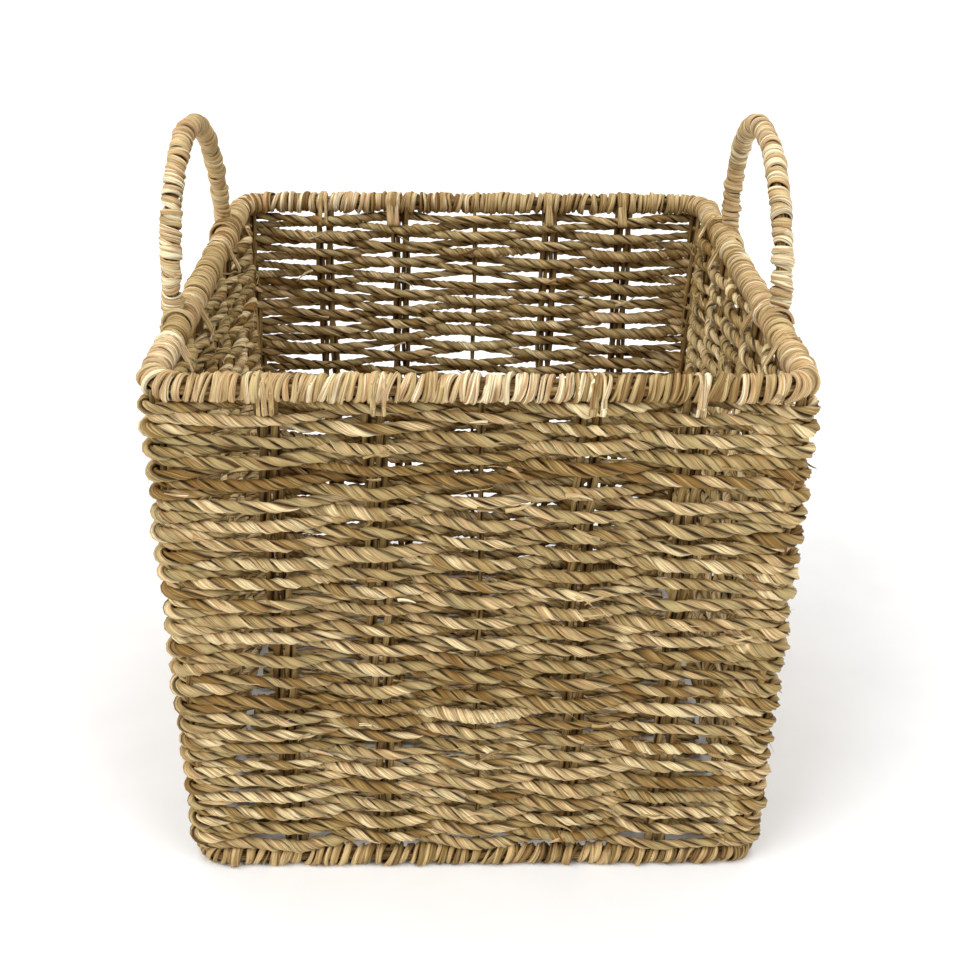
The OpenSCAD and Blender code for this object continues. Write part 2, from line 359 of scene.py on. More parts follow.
def seagrass(name, shades):
    """Dried leaf: `shades` is the ramp of colours that a leaf's tint picks from."""
    material = bpy.data.materials.new(name)
    material.use_nodes = True
    tree = material.node_tree
    shader = tree.nodes["Principled BSDF"]
    fibre = add(tree, "ShaderNodeAttribute", attribute_name="fibre").outputs["Vector"]
    tint = add(tree, "ShaderNodeAttribute", attribute_name="tint").outputs["Fac"]
    painted_shade = add(tree, "ShaderNodeAttribute", attribute_name="painted_shade").outputs["Fac"]
    noises = []
    for long_mm, wide_mm in (STREAKS, STAINS, LINES):
        place = add(tree, "ShaderNodeMapping", {"Vector": fibre,
                    "Scale": (1 / long_mm, 1 / wide_mm, 1 / wide_mm)})
        noises.append(add(tree, "ShaderNodeTexNoise", {"Vector": place.outputs[0], "Scale": 1.0,
                          "Detail": 2, "Roughness": 0.6}).outputs["Fac"])
    streak, blotch, lines = noises
    shift = add(tree, "ShaderNodeMapRange", {"Value": streak, "From Min": 0.3, "From Max": 0.7,
                "To Min": -STREAK_SHIFT, "To Max": STREAK_SHIFT}).outputs[0]
    pick = add(tree, "ShaderNodeMath", {0: tint, 1: shift}, operation="ADD").outputs[0]
    colour = add(tree, "ShaderNodeValToRGB", {"Fac": pick}, shades).outputs["Color"]
    stain = add(tree, "ShaderNodeMapRange", {"Value": blotch, "From Min": 0.5, "From Max": 0.75,
                "To Min": 0.0, "To Max": STAIN_MOST}).outputs[0]
    colour = add(tree, "ShaderNodeMix", {0: stain, 6: colour, 7: linear(STAIN_COLOUR)},
                 data_type="RGBA").outputs[2]
    groove = add(tree, "ShaderNodeMapRange", {"Value": lines, "From Min": 0.36, "From Max": 0.48,
                 "To Min": 1.0 - LINE_DARK, "To Max": 1.0}).outputs[0]
    # painted shade: the side of a strand that faces into the rope is darkened, as its shadow would be,
    # and the fine lines darken with it towards one colour
    shade = add(tree, "ShaderNodeMapRange", {"Value": painted_shade, "From Min": 0.36, "From Max": 0.74,
                "To Min": 1.0, "To Max": 1.0 - PAINTED_SHADE_DARK}).outputs[0]
    lines_and_painted_shade = add(tree, "ShaderNodeMath", {0: groove, 1: shade}, operation="MULTIPLY").outputs[0]
    colour = add(tree, "ShaderNodeMix", {0: lines_and_painted_shade, 6: linear(LINE_AND_PAINTED_SHADE_COLOUR), 7: colour},
                 data_type="RGBA").outputs[2]
    relief = add(tree, "ShaderNodeMath", {0: lines, 1: streak}, operation="ADD").outputs[0]
    bump = add(tree, "ShaderNodeBump", {"Height": relief, "Strength": 0.8,
               "Distance": LINE_DEEP_MM * MM})
    gloss = add(tree, "ShaderNodeMapRange", {"Value": lines, "From Min": 0.3, "From Max": 0.7,
                "To Min": LEAF_ROUGH + 0.12, "To Max": LEAF_ROUGH - 0.08}).outputs[0]
    tree.links.new(colour, shader.inputs["Base Color"])
    tree.links.new(gloss, shader.inputs["Roughness"])
    tree.links.new(bump.outputs[0], shader.inputs["Normal"])
    shader.inputs["IOR"].default_value = LEAF_IOR
    shader.inputs["Specular IOR Level"].default_value = LEAF_GLOSS
    return material


print("streaks, stains and lines, in mm along and across the leaf:", STREAKS, STAINS, LINES)

# %% [markdown]
# The maker sorts the leaf. The ropes take every shade, the strips for rim and handles are cut from
# the palest leaf, the base ring gets the dark lower ends, and the uprights are cord of old, brown
# leaf. Each is the same dried leaf with a ramp of its own, from its darkest to its palest shade.

# %% The four finishes of seagrass
ROPE = [(0.0, "#8E6B32"), (0.2, "#AE925A"), (0.4, "#CBB17B"), (0.55, "#B1A674"), (0.7, "#D8AF79"),
        (1.0, "#FCE8B4")]
STRIP = [(0.0, "#7D5C2A"), (0.3, "#BEA26B"), (0.6, "#DFC793"), (0.8, "#D0A06C"), (1.0, "#FFF3CA")]
BASE_STRIP = [(0.0, "#6B4F27"), (0.35, "#9D844F"), (0.7, "#BF9F69"), (1.0, "#DDBF88")]
STAKE = [(0.0, "#6F5228"), (0.5, "#947845"), (1.0, "#B89D66")]
rope_finish = seagrass("seagrass_rope", ROPE)
strip_finish = seagrass("seagrass_strip", STRIP)
base_finish = seagrass("seagrass_strip_from_the_dark_end", BASE_STRIP)
stake_finish = seagrass("seagrass_cord_of_the_uprights", STAKE)
print("finishes:", [finish.name for finish in (rope_finish, strip_finish, base_finish, stake_finish)])

# %% [markdown]
# ## Twisted rope
#
# Two strands are laid round each other in an S twist: seen from any side they fall from upper
# left to lower right. Every 22 to 60 cm a new leaf is fed into a strand, which shows as a change
# of shade.

# %% Shades along a strand
LEAVES = 40  # leaves in stock for one strand; a longer strand starts again at the first
LEAF_MM = (220, 600)
FIRST_LEAF_CUT = 300  # mm that may be missing from the first leaf
SHADE_SPREAD, SHADE_REACH = 0.07, 60


def leaf_tints(rng, count, step, low=0.1, high=0.95):
    """Shade along a strand: one value for each leaf, with a slow change inside it."""
    cuts = np.cumsum(rng.uniform(*LEAF_MM, LEAVES)) - rng.uniform(0, FIRST_LEAF_CUT)
    which = np.searchsorted(cuts, np.arange(count) * step) % LEAVES
    shade = rng.uniform(low, high, LEAVES)[which]
    return np.clip(shade + SHADE_SPREAD * drift(rng, count, step, SHADE_REACH), 0, 1)


print("shades of six points 100 mm apart:", leaf_tints(dice(0), 6, 100).round(2))

# %% [markdown]
# Each strand follows a helix round the rope's line. The lay opens and tightens, the strand swells
# and thins, and where the rope is squeezed it goes flat. A screw or an array modifier would
# repeat itself; the helix is computed instead, so that no two turns are alike.

# %% Lay two strands into a rope
LAY_MM, LAY_SPREAD, LAY_REACH = 24.0, 0.22, 45
LAY_LIMIT = 2.2  # the lay never opens or tightens by more than this many times its spread
LAY_RADIUS = 1.42  # from the rope's middle to a strand's
PLY_WIDE, PLY_THICK = 2.75, 2.0  # half the size of a strand, across and outwards
PLY_RIDGE = 0.125
ROPE_TINTS = (0.0, 1.0)  # a rope takes leaf of every shade
SWELL_SPREAD, SWELL_REACH = 0.09, 70
PLY_SPREAD, PLY_REACH = 0.10, 35
TIGHT_SPREAD, TIGHT_REACH = 0.08, 50


def rope(rng, path, closed, thick=1.0, fuller=0.0, flat=None, step=2.2, sides=14):
    """Two strands along `path`. `flat` is 1 where the rope has room and less where it is pressed;
    `fuller` says how much thicker the rope gets towards the back wall."""
    line, gap = spaced(path if flat is None else np.column_stack([path, flat]), step, closed)
    press = line[:, 3] if flat is not None else np.ones(len(line))
    line = line[:, :3]
    count = len(line)
    ahead = along(line, closed)
    out = unit(np.cross(ahead, (0, 0, 1)))
    up = np.cross(out, ahead)
    loose = np.clip(drift(rng, count, gap, LAY_REACH), -LAY_LIMIT, LAY_LIMIT)
    lay = 1 / (LAY_MM * (1 + LAY_SPREAD * loose))
    turn = np.cumsum(lay) * gap * 2 * math.pi
    if closed:
        turn *= 2 * math.pi * round(turn[-1] / (2 * math.pi)) / turn[-1]
    turn += rng.uniform(0, ANY_ANGLE)
    swell = thick * (1 + SWELL_SPREAD * drift(rng, count, gap, SWELL_REACH))
    swell *= 1 + fuller * np.clip(line[:, 1] / WALL, 0, 1)
    made = []
    for ply in (0, math.pi):
        angle = ply - turn
        towards = np.cos(angle)[:, None] * out + (np.sin(angle) * press)[:, None] * up
        own = swell * (1 + PLY_SPREAD * drift(rng, count, gap, PLY_REACH))
        tight = 1 + TIGHT_SPREAD * drift(rng, count, gap, TIGHT_REACH)
        middle = line + (LAY_RADIUS * swell * tight)[:, None] * towards
        wide = PLY_WIDE * own * (0.5 + 0.5 * press)
        # each strand gets full painted shade on its side that faces the other strand
        made.append(strand(rng, middle, towards, wide, PLY_THICK * own,
                           leaf_tints(rng, count, gap, *ROPE_TINTS), closed, sides,
                           ridge=PLY_RIDGE, painted_shade_amount=1.0))
    return made


print(f"a rope is about {2 * (LAY_RADIUS + PLY_THICK):.1f} mm thick and turns once in {LAY_MM:.0f} mm")


# %% [markdown]
# ## The weave
#
# A row runs round the whole basket. It passes the five uprights of a wall on alternate sides, and
# the next row does the opposite. At a corner both rows go round the outside of the post, one in a
# wide bend and the next in a close one that presses into it, so the corners are shut and look
# ribbed. The line is drawn in plan as straight rests and slants, then blurred a little, as a
# stiff rope would bend.

# %% The line of one row, in plan
REST = 11.0  # straight stretch of rope at each upright
CORNER_SLACK = 1.0  # room between the wide bend and the post
CORNER_OUT = POST_D / 2 + POST_CLEAR + ROPE_T / 2 + CORNER_SLACK
CORNER_NEAR = 0.45 * CORNER_OUT
CORNER_TRIM = 0.1  # radians left off at both ends of a bend, where it runs into the wall
BEND = 3.0  # how far the blur reaches
PLAN_STEP = 0.5


def row_plan(side):
    """Closed line of a row: `side` is 1 where it passes outside the middle uprights, or -1."""
    wall = [(k * BAY + e * REST / 2, (side if k % 2 == 0 else -side) * WEAVE_OFF)
            for k in (-2, -1, 0, 1, 2) for e in (-1, 1)]
    bulge = CORNER_NEAR if side > 0 else CORNER_OUT
    wall += [(POST + bulge * math.sin(a), POST - WALL + bulge * math.cos(a))
             for a in np.linspace(CORNER_TRIM, math.pi / 2 - CORNER_TRIM, 4)]
    wall = np.array(wall)
    front = np.stack([wall[:, 0], -WALL - wall[:, 1]], 1)
    turned = [front]
    for _ in range(3):
        last = turned[-1]
        turned.append(np.stack([-last[:, 1], last[:, 0]], 1))
    line, gap = spaced(np.vstack(turned), PLAN_STEP, True)
    waves = np.fft.rfft(line, axis=0)
    waves *= np.exp(-2 * (math.pi * np.fft.rfftfreq(len(line), gap) * BEND) ** 2)[:, None]
    return np.fft.irfft(waves, len(line), axis=0)


plans = {side: row_plan(side) for side in (1, -1)}
for side, plan in plans.items():
    length = np.linalg.norm(np.diff(plan, axis=0), axis=1).sum()
    print("a row with side", side, "is", round(float(length)), "mm long")

# %% [markdown]
# The weaver pushes each row down by hand, so rows rise and fall together by a few millimetres.
# `sag` is one random sheet of such heights for all rows, blurred across the rows and along them.
# It fades out towards the rim and the base ring, which are straight.

# %% How the rows wander up and down
SAG_COUNT = 1250  # points along a row, about a millimetre apart
SAG_REACH = 55
SAG_MM = 1.3  # typical rise or fall
SHARED = 4  # rows above and below that move with a row
SHARED_REACH = 1.8
EDGE_ROWS, EDGE_LEFT = 4, 0.15  # rows over which it fades, and the part left in the last row
sheet = np.stack([drift(dice(1, r), SAG_COUNT, 1.0, SAG_REACH) for r in range(ROWS + 2 * SHARED)])
blur = np.exp(-0.5 * (np.arange(-SHARED, SHARED + 1) / SHARED_REACH) ** 2)
sag = np.stack([np.tensordot(blur, sheet[r:r + len(blur)], 1) for r in range(ROWS)])
sag *= SAG_MM / sag.std()
edge = np.minimum(np.arange(ROWS), np.arange(ROWS)[::-1]) / EDGE_ROWS
sag *= np.clip(edge + EDGE_LEFT, 0, 1)[:, None]
print("rows wander by up to", round(float(np.abs(sag).max()), 1), "mm")

# %% [markdown]
# Two rows with opposite sides make one turn of the weave and one piece. Each row wanders a little
# on its own, too, and is flatter where it slants through the wall's middle plane between two
# uprights, squeezed by the rows that slant the other way. The back wall's lower rows are fuller,
# so they close up and let less light through. Every rope starts at another place, so the spots
# where its two ends meet are scattered.

# %% Weave the rows, two to a piece
ROW_THICK, ROW_THICK_SPREAD = 0.92, 0.04
OWN_WANDER, OWN_REACH = 0.55, 28
SIDE_WANDER, SIDE_REACH = 0.25, 40
FLATTEST, FLAT_GAIN = 0.8, 0.25
FULLER = 0.28
FULL_BELOW, FULL_OVER = 172, 12  # heights: none is fuller above the first, all are 12 mm lower
for turn_number in range(1, TURNS + 1):
    strands = []
    for half, side in enumerate((1, -1)):
        row = 2 * (turn_number - 1) + half
        rng = dice(2, row)
        plan = plans[side]
        count = len(plan)
        own = OWN_WANDER * drift(rng, count, PLAN_STEP, OWN_REACH)
        common = np.interp(np.arange(count) / count * SAG_COUNT, np.arange(SAG_COUNT), sag[row])
        height = WEAVE_LOW + (row + 0.5) * ROW_PITCH + common + own
        beyond = np.maximum(np.abs(plan[:, 0]), np.abs(plan[:, 1])) - WALL
        room = FLATTEST + FLAT_GAIN * np.clip(np.abs(beyond) / WEAVE_OFF, 0, 1)
        path = np.column_stack([plan, height])
        aside = np.stack([drift(rng, count, PLAN_STEP, SIDE_REACH) for _ in range(2)], 1)
        path[:, :2] += SIDE_WANDER * aside
        low_down = np.clip((FULL_BELOW - height.mean()) / FULL_OVER, 0, 1)
        start = rng.integers(count)
        path, room = np.roll(path, start, axis=0), np.roll(room, start)
        thick = ROW_THICK + ROW_THICK_SPREAD * rng.normal()
        strands += rope(rng, path, True, thick, fuller=FULLER * low_down, flat=room)
    piece(f"rope_turn_{turn_number:02d}", strands, rope_finish, "seagrass_rope",
          f"weft_turn_{turn_number:02d}")
print("rope turns woven:", TURNS)

# %% [markdown]
# Where a leaf ends inside a rope its tip springs out, and dry leaf splits into hairs. `loose_tip`
# makes one such tip: it starts inside a row, lifts off and tapers to a point. A particle system
# could spread such hairs too, but these must start on a rope and not in a gap between two.

# %% A loose leaf tip
FACES = {  # for each wall, the direction along it and the direction outwards
    "front": ((1, 0), (0, -1)),
    "right": ((0, 1), (1, 0)),
    "back": ((-1, 0), (0, 1)),
    "left": ((0, -1), (-1, 0)),
}
TIP_STEP = 1.5
TIP_SINK = 0.6  # how deep inside the rope a tip starts
TIP_RISE = 0.6  # how steeply a tip may rise or fall
TIP_ASIDE = 14  # how far from the middle of a float a tip may start
CORNER_KEEP = 12  # no tip starts closer to a corner than this


def loose_tip(rng, wall_name, width, thick, length, lift):
    (ax, ay), (ox, oy) = FACES[wall_name]
    face = 1 if rng.random() < 0.5 else -1
    k = rng.integers(-2, 3)
    row = rng.integers(1, ROWS - 1)
    outside = (1 if k % 2 == 0 else -1) * (1 if row % 2 == 0 else -1)
    place = (k if outside == face else k + rng.choice([-1, 1])) * BAY
    place = place + rng.uniform(-TIP_ASIDE, TIP_ASIDE)
    height = WEAVE_LOW + (row + 0.5) * ROW_PITCH + rng.uniform(-1.5, 1.5)
    count = max(5, int(length / TIP_STEP))
    t = np.linspace(0, 1, count)
    swing = rng.uniform(-0.9, 0.9)
    bow = rng.uniform(-0.5, 0.5)
    forward = rng.choice([-1, 1]) * length * t
    rise = length * (swing * t ** 2 + bow * t) * TIP_RISE
    off = face * (WEAVE_OFF + ROPE_T / 2 - TIP_SINK + lift * t ** 1.5) + WALL
    side_on = np.clip(place, -WALL + CORNER_KEEP, WALL - CORNER_KEEP) + forward
    path = np.column_stack([side_on * ax + off * ox, side_on * ay + off * oy, height + rise])
    out = np.tile([face * ox, face * oy, 0.0], (count, 1))
    taper = np.clip(1.15 - t, 0.08, 1) ** 0.7
    return strand(rng, path, out, width * taper, thick * taper,
                  leaf_tints(rng, count, TIP_STEP, 0.1, 1.0), sides=6, ridge=0.05)


print("a tip starts", TIP_SINK, "mm inside its rope")

# %% [markdown]
# A wall has some wide tips and more thin hairs, spread over its outer and its inner face. They
# carry the finish of the pale strips, because a leaf's tip bleaches more than the rest of it.

# %% Spread tips and hairs over the walls
WIDE_TIPS, HAIRS = 70, 90
TIP_WIDE, TIP_THICK, TIP_LONG, TIP_LIFT = (0.6, 1.5), 0.28, (6, 15), (0.5, 3.0)
HAIR_WIDE, HAIR_THICK, HAIR_LONG, HAIR_LIFT = 0.2, 0.14, (6, 20), (0.5, 3.5)
for number, wall_name in enumerate(FACES):
    rng = dice(10, number)
    tips = [loose_tip(rng, wall_name, rng.uniform(*TIP_WIDE), TIP_THICK, rng.uniform(*TIP_LONG),
                      rng.uniform(*TIP_LIFT)) for _ in range(WIDE_TIPS)]
    tips += [loose_tip(rng, wall_name, HAIR_WIDE, HAIR_THICK, rng.uniform(*HAIR_LONG),
                       rng.uniform(*HAIR_LIFT)) for _ in range(HAIRS)]
    piece(f"loose_tips_{wall_name}", tips, strip_finish, "seagrass_rope")
print("tips and hairs on a wall:", WIDE_TIPS, "and", HAIRS)

# %% [markdown]
# ## Uprights
#
# Each upright is seagrass cord with a long lay, two cords side by side at four places in a wall
# and a single thin one in the middle. A corner post is two cords as well. Only short stretches
# show between the rows, as dark vertical strands with a slit between them.

# %% An upright cord
UPRIGHT_STEP = 3.0
UPRIGHT_LAY = 110
UPRIGHT_WANDER, UPRIGHT_REACH = 0.5, 60


def upright(rng, x, y, thick):
    heights = np.arange(BASE_Z, RIM_Z, UPRIGHT_STEP)
    count = len(heights)
    lean = np.stack([drift(rng, count, UPRIGHT_STEP, UPRIGHT_REACH) for _ in range(2)], 1)
    lean = UPRIGHT_WANDER * lean
    line = np.column_stack([x + lean[:, 0], y + lean[:, 1], heights])
    angle = heights / UPRIGHT_LAY * 2 * math.pi + rng.uniform(0, ANY_ANGLE)
    made = []
    for ply in (0, math.pi):
        towards = np.stack([np.cos(angle + ply), np.sin(angle + ply), np.zeros(count)], 1)
        # the side of each cord's strand that faces the other gets painted shade
        made.append(strand(rng, line + 0.25 * thick * towards, towards, 0.30 * thick, 0.25 * thick,
                           leaf_tints(rng, count, UPRIGHT_STEP), sides=10, ridge=0.09, painted_shade_amount=0.8))
    return made


print(f"an upright is {RIM_Z - BASE_Z:.0f} mm long and turns once in {UPRIGHT_LAY} mm")

# %% [markdown]
# The frame is set up before any weaving: cords for the walls between the base ring and the rim,
# then the corner posts. The two cords of a post stand across the corner's diagonal, so both show
# a little from outside.

# %% Stand the uprights and the corner posts
PAIR_GAP, POST_PAIR = 6.6, 6.0  # between the middles of two cords
UPRIGHT_T, MIDDLE_T = 6.3, 3.6
PAIRS = (-2, -1, 1, 2)  # bays from the middle of a wall
places = [(0.0, MIDDLE_T)]
places += [(k * BAY + e * PAIR_GAP / 2, UPRIGHT_T) for k in PAIRS for e in (-1, 1)]
for number, wall_name in enumerate(("front", "right", "back", "left")):
    rng = dice(3, number)
    strands = []
    for place, thick in places:
        x, y = {"front": (place, -WALL), "right": (WALL, place),
                "back": (place, WALL), "left": (-WALL, place)}[wall_name]
        strands += upright(rng, x, y, thick)
    piece(f"uprights_{wall_name}", strands, stake_finish, "seagrass_stake", f"{wall_name}_stakes")
CORNERS = ((-1, -1, "front_left"), (1, -1, "front_right"), (-1, 1, "back_left"), (1, 1, "back_right"))
for number, (sx, sy, name) in enumerate(CORNERS):
    rng = dice(4, number)
    strands = []
    for e in (-1, 1):
        aside = e * POST_PAIR / 2 * math.sqrt(0.5)
        strands += upright(rng, sx * POST - aside * sy, sy * POST + aside * sx, UPRIGHT_T)
    piece(f"corner_{name}", strands, stake_finish, "seagrass_stake", f"post_{name}")
print("cords in a wall:", len(places), "and in a corner post:", 2)

# %% [markdown]
# ## Wound rings
#
# Rim, base ring and handles are wires padded with leaf and wound with strips. The rim and the base
# ring follow the same rounded square, one above the other.

# %% The line of a ring
CORNER_R = 16.0


def ring_line(z):
    """Middle line of a rounded square ring, counterclockwise from the front right corner."""
    straight = RING - CORNER_R
    turned = []
    for quarter in range(4):
        a = np.linspace(-math.pi / 2, 0, 9) + quarter * math.pi / 2
        cx, cy = [(1, -1), (1, 1), (-1, 1), (-1, -1)][quarter]
        turned.append(np.stack([cx * straight + CORNER_R * np.cos(a),
                                cy * straight + CORNER_R * np.sin(a)], 1))
    line, _ = spaced(np.vstack(turned), 1.0, True)
    return np.column_stack([line, np.full(len(line), z)])


def outward(line):
    """At each point of a ring, the direction away from the basket."""
    return unit(np.cross(along(line, True), (0, 0, 1)))


rim, base = ring_line(RIM_Z), ring_line(BASE_Z)
print("the rings are made of", len(rim), "points each")

# %% [markdown]
# A winding is two strips side by side that run round the ring's line in one helix. Its turns crowd
# and spread, cross each other in places and lie at different heights, which is what makes a
# hand-wound rim look knobbly. A texture on a smooth ring would show none of this at the edge.

# %% Wind two strips round a line
STRIPS, PER_TURN, STRIP_SIDES = 2, 18, 10
STRIP_LAP = 1.55  # distance between the two strips, times half the width of one
# Painted shade: the second value darkens the side of a strip that faces the ring, in place of the
# shadow under it
STRIP_RIDGE, STRIP_PAINTED_SHADE = 0.12, 0.8
CROWDING, CROWD_REACH = 0.45, 14


def wind(rng, line, out, closed, radius, pitch, half_width, half_thick, wobble, lift,
         slant=0.0, tint=(0.0, 1.0)):
    """Two strips wound round `line`; `out` is square to the line. `wobble` and `lift` are how
    much the turns stray along the line and outwards, `slant` how far a turn leans."""
    loop = np.vstack([line, line[:1]]) if closed else line
    far = np.concatenate([[0], np.cumsum(np.linalg.norm(np.diff(loop, axis=0), axis=1))])
    up = np.cross(out, along(line, closed))
    ends = [np.vstack([v, v[:1]]) if closed else v for v in (line, out, up)]
    turns = round(far[-1] / pitch)
    count = turns * PER_TURN
    angle = np.linspace(0, turns * 2 * math.pi, count, endpoint=False)
    step = 2 * math.pi * radius / PER_TURN
    common = angle / (2 * math.pi * turns) * far[-1]
    common += wobble * drift(rng, count, step, CROWD_REACH)
    common += slant * np.sin(angle)
    made = []
    for strip in range(STRIPS):
        beside = (strip - (STRIPS - 1) / 2) * STRIP_LAP * half_width
        place = common + beside + CROWDING * half_width * drift(rng, count, step, CROWD_REACH)
        place = place % far[-1] if closed else np.clip(place, 0, far[-1])
        middle, side_way, up_way = (np.stack([np.interp(place, far, v[:, i]) for i in range(3)], 1)
                                    for v in ends)
        towards = unit(np.cos(angle)[:, None] * side_way + np.sin(angle)[:, None] * up_way)
        height = radius - half_thick + lift * drift(rng, count, step, 16)
        made.append(strand(rng, middle + height[:, None] * towards, towards,
                           half_width * (1 + 0.22 * drift(rng, count, step, 22)),
                           half_thick * (1 + 0.15 * drift(rng, count, step, 15)),
                           leaf_tints(rng, count, step, *tint), closed, STRIP_SIDES,
                           ridge=STRIP_RIDGE, painted_shade_amount=STRIP_PAINTED_SHADE,
                           roll=0.3 * drift(rng, count, step, 18)))
    return made


print("points in one turn of a strip:", PER_TURN)

# %% [markdown]
# Under the strips lies a padding of leaf, which makes the thin wire thick enough to grip and
# gives the strips something to bite into. Only slits between turns show it, so three plain
# strands are enough, and a gap between two turns isn't a hole. The strands get the darkest leaf
# colour and painted shade on top, which stand in for the shadow down in the slits.

# %% The padding under a winding
PAD_STRANDS, PAD_APART = 3, 2.1  # radians between strands, about a third of a turn
# the padding's tint: the darkest leaf colour, painted shade for the slits between turns
PAD_PAINTED_SHADE_TINT = 0.05
PAD_SIDES = 8


def padding(rng, line, out, closed, radius):
    up = np.cross(out, along(line, closed))
    made = []
    for k in range(PAD_STRANDS):
        towards = math.cos(PAD_APART * k) * out + math.sin(PAD_APART * k) * up
        made.append(strand(rng, line + 0.5 * radius * towards, towards, 0.62 * radius, 0.5 * radius,
                           PAD_PAINTED_SHADE_TINT, closed, PAD_SIDES, painted_shade_amount=STRIP_PAINTED_SHADE))
    return made


print("strands in the padding:", PAD_STRANDS)

# %% [markdown]
# The rim gets pale strips, close and even. The base ring gets wider and darker ones, wound with
# less care, because nobody looks at it. It stands on the floor, so its lowest turns are flat.

# %% Wind the rim and the base ring
STRIP_PROUD = 0.2  # how far the winding stands out from the CAD ring
FLOOR_GAP = 0.05
strands = padding(dice(5, 0), rim[::3], outward(rim)[::3], True, RIM_R - 2.2)
strands += wind(dice(5, 1), rim, outward(rim), True, RIM_R + STRIP_PROUD, pitch=6.2,
                half_width=1.75, half_thick=1.4, wobble=0.6, lift=0.45, slant=0.5)
piece("rim_winding", strands, strip_finish, "seagrass_strip", "rim_wrap")

strands = padding(dice(6, 0), base[::3], outward(base)[::3], True, BASE_R - 2.0)
strands += wind(dice(6, 1), base, outward(base), True, BASE_R + STRIP_PROUD, pitch=6.8,
                half_width=1.8, half_thick=1.45, wobble=0.9, lift=0.6, slant=0.6)
piece("base_winding", strands, base_finish, "seagrass_strip", "base_wrap", floor=FLOOR_GAP)
print("rings wound with", STRIPS, "strips in every turn")

# %% [markdown]
# At each pair of uprights two or three strips of the rim's winding run on down and take in the
# top row, so the rim can't lift off the wall. Each is a loop in a plane square to the wall: wide
# at the rim, narrower and lower down round the row. Blurring its outline makes it bend softly.

# %% A tie from the rim round the top row
TIE_LOW = 3.0  # how round the lower end is
TIE_POINTS, TIE_WAVES = 44, 9  # points of the outline, and waves kept by the blur
TIE_STEP = 1.6
TIE_WIDE, TIE_THICK = 1.35, 0.8
TIE_SLIDE = 1.2  # how far a tie strays along the wall


def tie(rng, wall_name, place):
    (ax, ay), (ox, oy) = FACES[wall_name]
    low, high = RIM_Z - RIM_R - 0.6 * ROW_PITCH, RIM_Z
    reach_low, reach_high = WEAVE_OFF + ROPE_T / 2 + 0.2, RIM_R - 0.4
    a = np.linspace(0, 2 * math.pi, TIE_POINTS, endpoint=False)
    z = np.where(np.sin(a) > 0, high + reach_high * np.sin(a), low + TIE_LOW * np.sin(a))
    t = np.clip((z - low) / (high - low), 0, 1)
    off = np.cos(a) * (reach_low + (reach_high - reach_low) * t) + (WALL + (RING - WALL) * t)
    loop = np.column_stack([off, z])
    smooth = np.fft.rfft(loop, axis=0)
    smooth[TIE_WAVES:] = 0
    loop = np.fft.irfft(smooth, len(a), axis=0)
    slide = place + TIE_SLIDE * np.sin(a + rng.uniform(0, ANY_ANGLE)) + rng.uniform(-0.4, 0.4)
    path = np.column_stack([slide * ax + loop[:, 0] * ox, slide * ay + loop[:, 0] * oy, loop[:, 1]])
    path, gap = spaced(path, TIE_STEP, True)
    middle = path.mean(0)
    wide = TIE_WIDE * (1 + 0.2 * drift(rng, len(path), gap, 15))
    # the inner side of a tie, towards the rim and the row, gets some painted shade
    return strand(rng, path, path - middle, wide, TIE_THICK,
                  leaf_tints(rng, len(path), gap, 0.1, 1.0), True, STRIP_SIDES, ridge=0.1,
                  painted_shade_amount=0.6, roll=0.3 * drift(rng, len(path), gap, 15))


print(f"a tie is {2 * TIE_WIDE:.1f} mm wide and {2 * TIE_THICK:.1f} mm thick")

# %% [markdown]
# The ties of one place lie side by side and never quite on the pair's middle, as a hand sets them.

# %% Tie the rim to the walls
TIE_PITCH, TIE_ASTRAY = 2.7, 3
for number, wall_name in enumerate(FACES):
    rng = dice(11, number)
    ties = []
    for k in PAIRS:
        start = k * BAY + rng.uniform(-TIE_ASTRAY, TIE_ASTRAY)
        for n in range(rng.integers(2, 4)):
            ties.append(tie(rng, wall_name, start + TIE_PITCH * n + rng.uniform(-0.5, 0.5)))
    piece(f"rim_ties_{wall_name}", ties, strip_finish, "seagrass_strip")
    print("ties on the", wall_name, "wall:", len(ties))

# %% [markdown]
# ## Handles
#
# Each handle is a wire arch on the outer shoulder of the rim: two short straight legs and a half
# circle over them. The wires were bent by hand, so the two arches differ by some millimetres. The
# left one is wider and lower and stands upright; the right one leans in by a few degrees.

# %% The line of a handle
HANDLE_R = 5.5
HANDLE_X = RING + 4.1  # the legs stand 4.1 mm outside the rim's middle line
HANDLE_FOOT = -4  # height at which a leg starts, from the rim's middle line
LEG_POINTS, ARCH_POINTS = 5, 60
# for the left (-1) and the right (1) handle: wider, further back and lower, in mm, and its lean
HANDLE_SHAPE = {-1: (6.0, 4.0, 3.0, 0.2), 1: (-4.0, -1.0, 0.0, 2.5)}
arch_low, arch_high = box_mm("right_handle_wrap")
HANDLE_Y = (arch_high[1] + arch_low[1]) / 2
ARCH_R = (arch_high[1] - arch_low[1]) / 2 - HANDLE_R
ARCH_Z = arch_high[2] - HANDLE_R - RIM_Z - ARCH_R
print(f"handle arch radius {ARCH_R:.1f}, its middle {ARCH_Z:.1f} above the rim's, {HANDLE_Y:.1f} back")


